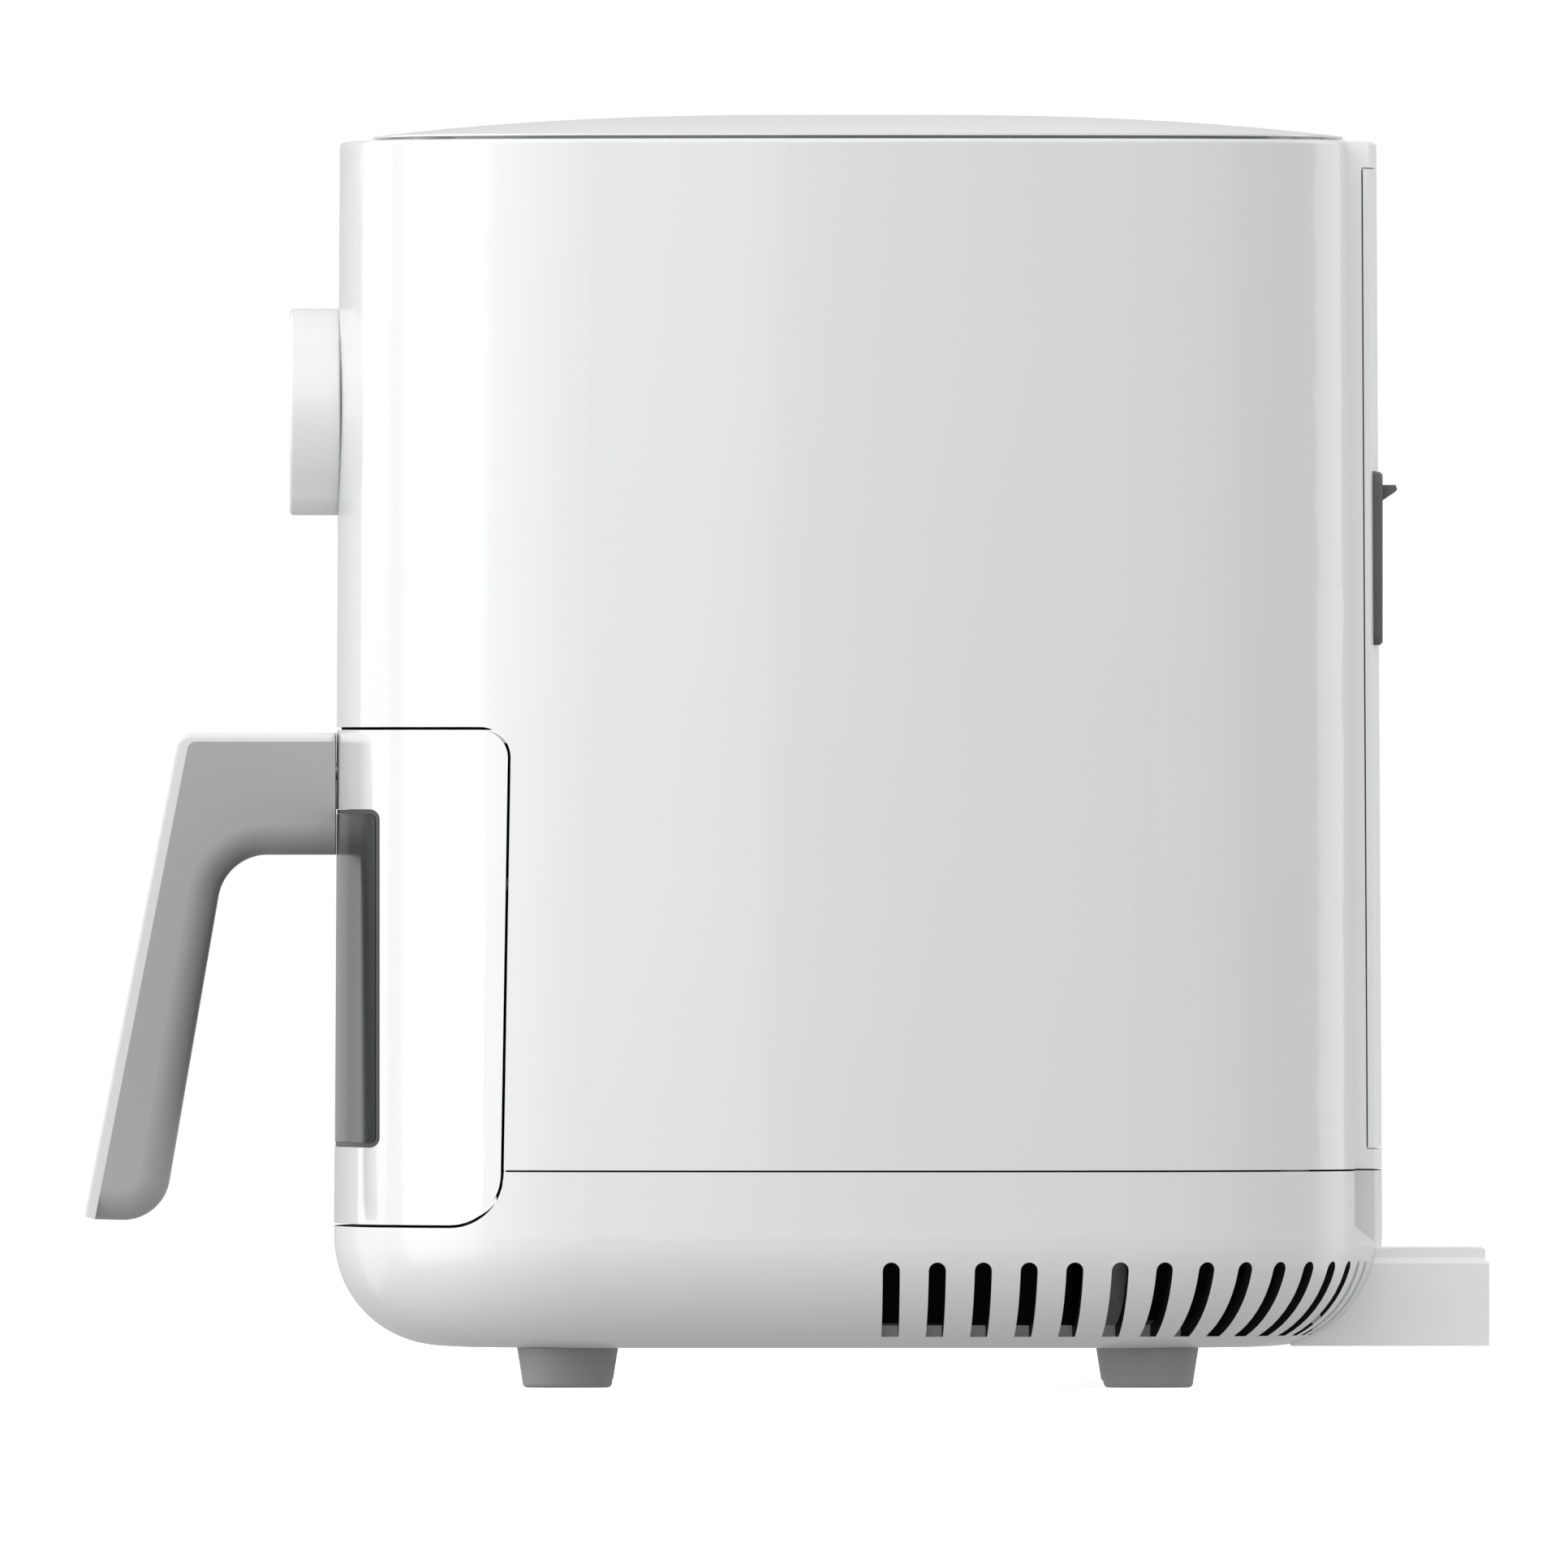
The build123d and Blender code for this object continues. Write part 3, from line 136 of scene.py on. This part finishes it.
shell = make_material("white_gloss_shell", (0.79, 0.79, 0.795), 0.2, coat=0.5, mottle=0.004, bump=0.004,
                      rough_swing=0.01, coat_rough=0.03)
front_shell = make_material("white_gloss_front", (0.82, 0.82, 0.825), 0.16, coat=0.8, mottle=0.004,
                            bump=0.004, rough_swing=0.01, coat_rough=0.02)
base_shell = make_material("white_base", (0.79, 0.79, 0.795), 0.3, coat=0.2, mottle=0.006, bump=0.01,
                           rough_swing=0.02)
# Painted light: a brighter copy of the shell's white for the rear panel, standing in for the strong back
# light on it.
painted_light_white = make_material("white_rear_painted_light", (0.97, 0.97, 0.972), 0.3, coat=0.3, mottle=0.004, bump=0.004,
                            rough_swing=0.01)
trim = make_material("white_satin_trim", (0.78, 0.78, 0.785), 0.35, mottle=0.006, bump=0.02)
knob_white = make_material("white_gloss_knob", (0.78, 0.78, 0.785), 0.2, coat=0.6, mottle=0.004, bump=0.004,
                           rough_swing=0.01, coat_rough=0.03)
grip = make_material("grey_satin_grip", (0.41, 0.41, 0.412), 0.42, mottle=0.012, bump=0.05)
dark = make_material("dark_moulded", (0.035, 0.035, 0.037), 0.45, mottle=0.08, bump=0.06)
grille_dark = make_material("dark_grille", (0.12, 0.12, 0.123), 0.5, mottle=0.08, bump=0.06)
foot_rubber = make_material("foot_rubber", (0.27, 0.27, 0.273), 0.6, mottle=0.05, bump=0.15, grain=1400.0)
silicone = make_material("silicone", (0.03, 0.03, 0.03), 0.55, mottle=0.06, bump=0.05)
coating = make_material("non_stick_coating", (0.022, 0.022, 0.024), 0.38, mottle=0.25, bump=0.12,
                        grain=2500.0, specular=0.6)
sheet = make_material("galvanised_sheet", (0.55, 0.56, 0.57), 0.36, metallic=1.0, mottle=0.12,
                      bump=0.05, grain=300.0, rough_swing=0.1)
bright_steel = make_material("bright_steel", (0.62, 0.62, 0.63), 0.25, metallic=1.0, mottle=0.05,
                             stretch=(1.0, 1.0, 12.0))
blade = make_material("fan_aluminium", (0.7, 0.7, 0.71), 0.3, metallic=1.0, mottle=0.05,
                      stretch=(8.0, 1.0, 1.0))
element = make_material("heater_tube", (0.16, 0.13, 0.12), 0.5, metallic=0.7, mottle=0.3, bump=0.1)
laminate = make_material("green_laminate", (0.012, 0.13, 0.045), 0.35, mottle=0.15, bump=0.05)
component = make_material("moulded_component", (0.03, 0.03, 0.034), 0.5, mottle=0.15, bump=0.05)
display = make_material("display_window", (0.008, 0.008, 0.01), 0.06, coat=1.0, mottle=0.2, bump=0.002,
                        rough_swing=0.01, coat_rough=0.02)
smoked = make_material("smoked_pane", (0.03, 0.031, 0.032), 0.16, mottle=0.1, bump=0.002,
                       rough_swing=0.01, alpha=0.82, specular=0.2)
spacer_white = make_material("white_spacer", (0.94, 0.94, 0.945), 0.35, mottle=0.006, bump=0.01)
pane = make_material("clear_pane", (0.5, 0.52, 0.52), 0.05, mottle=0.02, bump=0.002, rough_swing=0.01,
                     alpha=0.25)

NODE_MATERIALS = {
    shell: ["main_housing", "top_cover"],
    painted_light_white: ["rear_panel"],
    front_shell: ["drawer_front_panel"],
    base_shell: ["base_housing"],
    spacer_white: ["wall_spacer"],
    trim: ["handle_cover", "board_tray", "switch_plunger"],
    knob_white: ["knob_hub", "knob_ring"],
    grip: ["handle_grip"],
    dark: ["window_frame", "drawer_bay_frame", "drawer_back_panel", "drawer_rails", "cooling_fan",
           "cord_gland", "air_divider"],
    grille_dark: ["exhaust_grille"],
    foot_rubber: ["foot_front_left", "foot_front_right", "foot_rear_left", "foot_rear_right"],
    silicone: ["drawer_seal", "plate_bumpers"],
    coating: ["drawer_pan", "crisper_plate"],
    sheet: ["exhaust_duct", "chamber_liner", "heater_hood", "heat_shield", "motor_bracket",
            "motor_stator"],
    bright_steel: ["rear_panel_screws", "base_screws", "handle_screws", "motor_screws", "motor_shaft",
                   "motor_bearings", "heater_guard", "drawer_catch_springs", "temperature_sensor"],
    blade: ["hot_air_fan"],
    element: ["heating_element"],
    laminate: ["power_board", "control_board"],
    component: ["power_board_components", "thermal_cut_out", "knob_encoder", "drawer_switch"],
    display: ["display_lens"],
    smoked: ["window_outer_glass"],
    pane: ["window_inner_glass"],
}
for material, members in NODE_MATERIALS.items():
    for node in members:
        mesh = nodes[node].data
        mesh.materials.clear()
        mesh.materials.append(material)

unpainted = set(nodes) - {node for members in NODE_MATERIALS.values() for node in members}
if unpainted:
    raise RuntimeError(f"no material for {sorted(unpainted)}")

# Painted shade: the vent slots' walls, the base's inside behind them and the faces inside the seams are
# painted near-black to stand in for the shade in these recesses and gaps.
painted_recess_shade = make_material("painted_vent_and_seam_shade", (0.012, 0.012, 0.013), 0.6, mottle=0.2, bump=0.05, specular=0.2)
corner_x = 0.058
corner_y = 0.068
least_offset = 0.001
slot_low = 0.0126
slot_front = 0.018
outward_facing = 0.3
seam_z = 0.052
seam_slack = 0.0003
lip_low = seam_z - 2 * seam_slack
downward_facing = -0.9
rear_field_x = 0.068
rear_field_y = 0.125
panel_low, panel_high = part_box("drawer_front_panel")
bay_gap = 0.0012
bay_top = panel_high.z + 0.0007
base_side_facing = 0.5
shell_side_facing = 0.3
painted_shade_index = 1


def vent_shade_faces(face):
    """True for a face of the base that can only be seen through a vent slot or a seam; such faces get
    painted shade.
    """
    x, y, z = face.center
    if z > lip_low:
        return True
    in_bay = z > panel_low.z - bay_gap and y < panel_high.y + bay_gap
    if in_bay and abs(face.normal.x) < base_side_facing:
        return True
    if z < slot_low or y < slot_front or (abs(x) < rear_field_x and y > rear_field_y):
        return False
    outward = Vector((math.copysign(max(abs(x) - corner_x, least_offset), x), max(y - corner_y, 0.0), 0.0))
    return face.normal.dot(outward.normalized()) < outward_facing


def seam_shade_faces(face):
    """True for a face of the shell that lies in its seam with the base or with the drawer front; such faces
    get painted shade.
    """
    y, z = face.center.y, face.center.z
    if abs(z - seam_z) < seam_slack and face.normal.z < downward_facing:
        return True
    in_bay = y < panel_high.y + bay_gap and z < bay_top + seam_slack
    return in_bay and abs(face.normal.x) < shell_side_facing


# Painted shade goes on every face that these masks pick out.
for node, hidden in (("base_housing", vent_shade_faces), ("main_housing", seam_shade_faces)):
    mesh = nodes[node].data
    mesh.materials.append(painted_recess_shade)
    for face in mesh.polygons:
        if hidden(face):
            face.material_index = painted_shade_index

# Painted light: the housing's raised rear field and the flats beside it get the panel's brighter white,
# standing in for the strong back light on them.
flat_y = 0.133
raised_x = 0.0385
flat_facing = 0.985
painted_light_index = 2
housing = nodes["main_housing"].data
housing.materials.append(painted_light_white)
for face in housing.polygons:
    if face.center.y > flat_y and (abs(face.center.x) < raised_x or face.normal.y > flat_facing):
        face.material_index = painted_light_index

# ---------------------------------------------------------------- display symbols
glow = make_glowing_material("display_glow", (0.55, 0.75, 0.85), (0.8, 0.95, 1.0), 4000.0, strength=0.9,
                             roughness=0.5)
SEGMENTS = {"0": "abcdef", "1": "bc", "8": "abcdefg"}
digit_height = 0.0072
digit_width = 0.0038
digit_pitch = digit_width * 1.55
digit_rise = 0.001
bar = 0.0007
dash_count = 4
dash_pitch = 0.0026
dash_drop = 0.0062
dash_size = (0.0019, 0.0005)
symbol_thickness = 0.00005


def segment_quads(letter):
    """Middle and size of one bar of a seven-bar digit, about the digit's middle."""
    half_w = digit_width / 2
    half_h = digit_height / 2
    quarter = digit_height / 4
    across = (digit_width - bar, bar)
    upright = (bar, digit_height / 2 - bar)
    return {
        "a": (0, half_h, across), "d": (0, -half_h, across), "g": (0, 0, across),
        "b": (half_w, quarter, upright), "c": (half_w, -quarter, upright),
        "f": (-half_w, quarter, upright), "e": (-half_w, -quarter, upright),
    }[letter]


def add_bar(verts, faces, x, z, size, front, back):
    """A thin bar with pointed ends along its longer side, as display segments have."""
    w, h = size[0] / 2, size[1] / 2
    if w > h:
        ring = [(-w, 0), (-w + h, -h), (w - h, -h), (w, 0), (w - h, h), (-w + h, h)]
    else:
        ring = [(0, -h), (w, -h + w), (w, h - w), (0, h), (-w, h - w), (-w, -h + w)]
    first = len(verts)
    verts += [(x + px, front, z + pz) for px, pz in ring]
    verts += [(x + px, back, z + pz) for px, pz in ring]
    count = len(ring)
    faces.append([first + i for i in range(count)])
    faces.append([first + count + i for i in reversed(range(count))])
    for i in range(count):
        j = (i + 1) % count
        faces.append([first + j, first + i, first + count + i, first + count + j])


lens_low, lens_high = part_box("display_lens")
lens_x = (lens_low.x + lens_high.x) / 2
lens_z = (lens_low.z + lens_high.z) / 2
front_y = lens_low.y - symbol_thickness
verts = []
faces = []
for place, digit in enumerate("180"):
    digit_x = lens_x + (place - 1) * digit_pitch
    for letter in SEGMENTS[digit]:
        x, z, size = segment_quads(letter)
        add_bar(verts, faces, digit_x + x, lens_z + digit_rise + z, size, front_y, lens_low.y)
for place in range(dash_count):
    dash_x = lens_x + (place - (dash_count - 1) / 2) * dash_pitch
    add_bar(verts, faces, dash_x, lens_z - dash_drop, dash_size, front_y, lens_low.y)
symbols = add_object("display_symbols", verts, faces, glow)
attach(symbols, "knob")

# ---------------------------------------------------------------- felt strips behind the drawer's seams, dark to paint the seams' shadow
shadow_felt = make_material("seam_shadow_felt", (0.02, 0.02, 0.021), 0.95, mottle=0.3, grain=3000.0, bump=0.4,
                     specular=0.1)
felt_gap = 0.00006
felt_half_width = 0.006
felt_stations = 24
felt_wave = 0.02
felt_wave_step = 1.7
felt_inset = 0.0012
profile = [(-1.0, 0.3), (-0.9, 0.12), (-0.7, 0.0), (0.7, 0.0), (0.9, 0.12), (1.0, 0.3), (1.0, 1.0),
           (-1.0, 1.0)]


def shadow_felt_strip(name, y_front, y_rear, z_low, z_high, upright):
    """A dark felt strip that paints the shadow in a seam, with rounded long edges and running along Y;
    upright puts its rounded side on top.
    """
    verts = []
    faces = []
    count = len(profile)
    for station in range(felt_stations + 1):
        y = y_front + (y_rear - y_front) * station / felt_stations
        width = felt_half_width * (1 + felt_wave * math.sin(station * felt_wave_step))
        for px, pz in profile:
            rise = 1.0 - pz if upright else pz
            verts.append((width * px, y, z_low + (z_high - z_low) * rise))
    for station in range(felt_stations):
        first = station * count
        for i in range(count):
            j = (i + 1) % count
            faces.append([first + i, first + j, first + count + j, first + count + i])
    faces.append(list(reversed(range(count))))
    faces.append([felt_stations * count + i for i in range(count)])
    if upright:
        faces = [list(reversed(face)) for face in faces]
    strip = add_object(name, verts, faces, shadow_felt)
    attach(strip, "body")


shadow_felt_strip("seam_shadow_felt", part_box("main_housing")[0].y + felt_inset, panel_high.y, panel_high.z + felt_gap,
           bay_top, upright=False)
# A second one, also painted shadow, stands on the base's floor behind the drawer's back panel and below its
# seal.
felt_clearance = 0.0003
shadow_felt_strip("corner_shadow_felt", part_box("drawer_back_panel")[1].y + felt_clearance,
           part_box("chamber_liner")[0].y - felt_clearance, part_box("air_divider")[0].z,
           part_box("drawer_seal")[0].z - felt_clearance, upright=True)

# ---------------------------------------------------------------- floor
floor_material = make_glowing_material("pale_floor", (0.9, 0.9, 0.9), (0.92, 0.92, 0.92), 3.0, strength=0.75,
                                       roughness=0.9)
floor_reach = 6.0
floor = add_object("floor", [(-floor_reach, -floor_reach, 0), (floor_reach, -floor_reach, 0),
                             (floor_reach, floor_reach, 0), (-floor_reach, floor_reach, 0)],
                   [[0, 1, 2, 3]], floor_material)
floor.visible_diffuse = False
floor.visible_glossy = False

# ---------------------------------------------------------------- light
scene = bpy.context.scene
scene.view_settings.view_transform = "Standard"
scene.view_settings.look = "None"
world = bpy.data.worlds.new("studio")
scene.world = world
world.use_nodes = True
world_tree = world.node_tree
surroundings = world_tree.nodes["Background"]
surroundings.inputs["Color"].default_value = (1.0, 1.0, 1.0, 1.0)
# The room is bright above and dimmer towards the ground, as over a matt studio table.
sky_strength = 0.78
ground_strength = 0.44
blend_height = 0.35
direction = world_tree.nodes.new("ShaderNodeTexCoord")
parts = world_tree.nodes.new("ShaderNodeSeparateXYZ")
height_range = world_tree.nodes.new("ShaderNodeMapRange")
height_range.inputs["From Min"].default_value = -blend_height
height_range.inputs["From Max"].default_value = blend_height
height_range.inputs["To Min"].default_value = ground_strength
height_range.inputs["To Max"].default_value = sky_strength
world_tree.links.new(direction.outputs["Generated"], parts.inputs["Vector"])
world_tree.links.new(parts.outputs["Z"], height_range.inputs["Value"])
world_tree.links.new(height_range.outputs["Result"], surroundings.inputs["Strength"])
backdrop = world_tree.nodes.new("ShaderNodeBackground")
backdrop.inputs["Color"].default_value = (1.0, 1.0, 1.0, 1.0)
backdrop.inputs["Strength"].default_value = 1.0
seen = world_tree.nodes.new("ShaderNodeLightPath")
either = world_tree.nodes.new("ShaderNodeMixShader")
world_tree.links.new(seen.outputs["Is Camera Ray"], either.inputs["Fac"])
world_tree.links.new(surroundings.outputs["Background"], either.inputs[1])
world_tree.links.new(backdrop.outputs["Background"], either.inputs[2])
world_tree.links.new(either.outputs["Shader"], world_tree.nodes["World Output"].inputs["Surface"])

# Azimuth and elevation in degrees, distance and size in metres, power in watts.
middle = Vector((0.0, 0.0, 0.15))


def softbox(name, azimuth, elevation, distance, width, height, power):
    """A rectangular light facing the object. Azimuth 0 is in front of it (-Y) and 90 on its +X side."""
    data = bpy.data.lights.new(name, "AREA")
    data.shape = "RECTANGLE"
    data.size = width
    data.size_y = height
    data.energy = power
    light = bpy.data.objects.new(name, data)
    scene.collection.objects.link(light)
    turn = math.radians(azimuth)
    lift = math.radians(elevation)
    offset = Vector((math.sin(turn) * math.cos(lift), -math.cos(turn) * math.cos(lift), math.sin(lift)))
    light.location = middle + offset * distance
    light.rotation_euler = (-offset).to_track_quat("-Z", "Y").to_euler()
    light.visible_camera = False
    return light


softbox("front_strip", 5, 8, 1.5, 1.2, 1.6, 12.0)
softbox("front_wrap", -48, 8, 1.5, 1.0, 1.6, 2.2)
softbox("side_key", 55, 28, 1.8, 2.2, 2.2, 13.2)
softbox("rear_fill", 140, 12, 1.6, 1.0, 1.6, 1.4)
softbox("rear_strip", 212, 8, 1.5, 0.6, 1.6, 2.6)
rear_wash = softbox("rear_wash", 238, 8, 1.5, 1.2, 1.6, 4.5)
rear_wash.visible_glossy = False
softbox("top_fill", 90, 78, 1.6, 1.6, 1.6, 2.0)

# ---------------------------------------------------------------- camera
view_width = 0.37577
view_middle = Vector((0.0, -0.0003, 0.1461))
camera_data = bpy.data.cameras.new("side_view")
camera_data.sensor_width = 36.0
camera_data.lens = 1650.0
camera = bpy.data.objects.new("side_view", camera_data)
scene.collection.objects.link(camera)
camera_distance = view_width * camera_data.lens / camera_data.sensor_width
camera.location = view_middle + Vector((camera_distance, 0.0, 0.0))
camera.rotation_euler = (math.radians(90), 0.0, math.radians(90))
camera_data.clip_start = 1.0
camera_data.clip_end = 60.0
scene.camera = camera
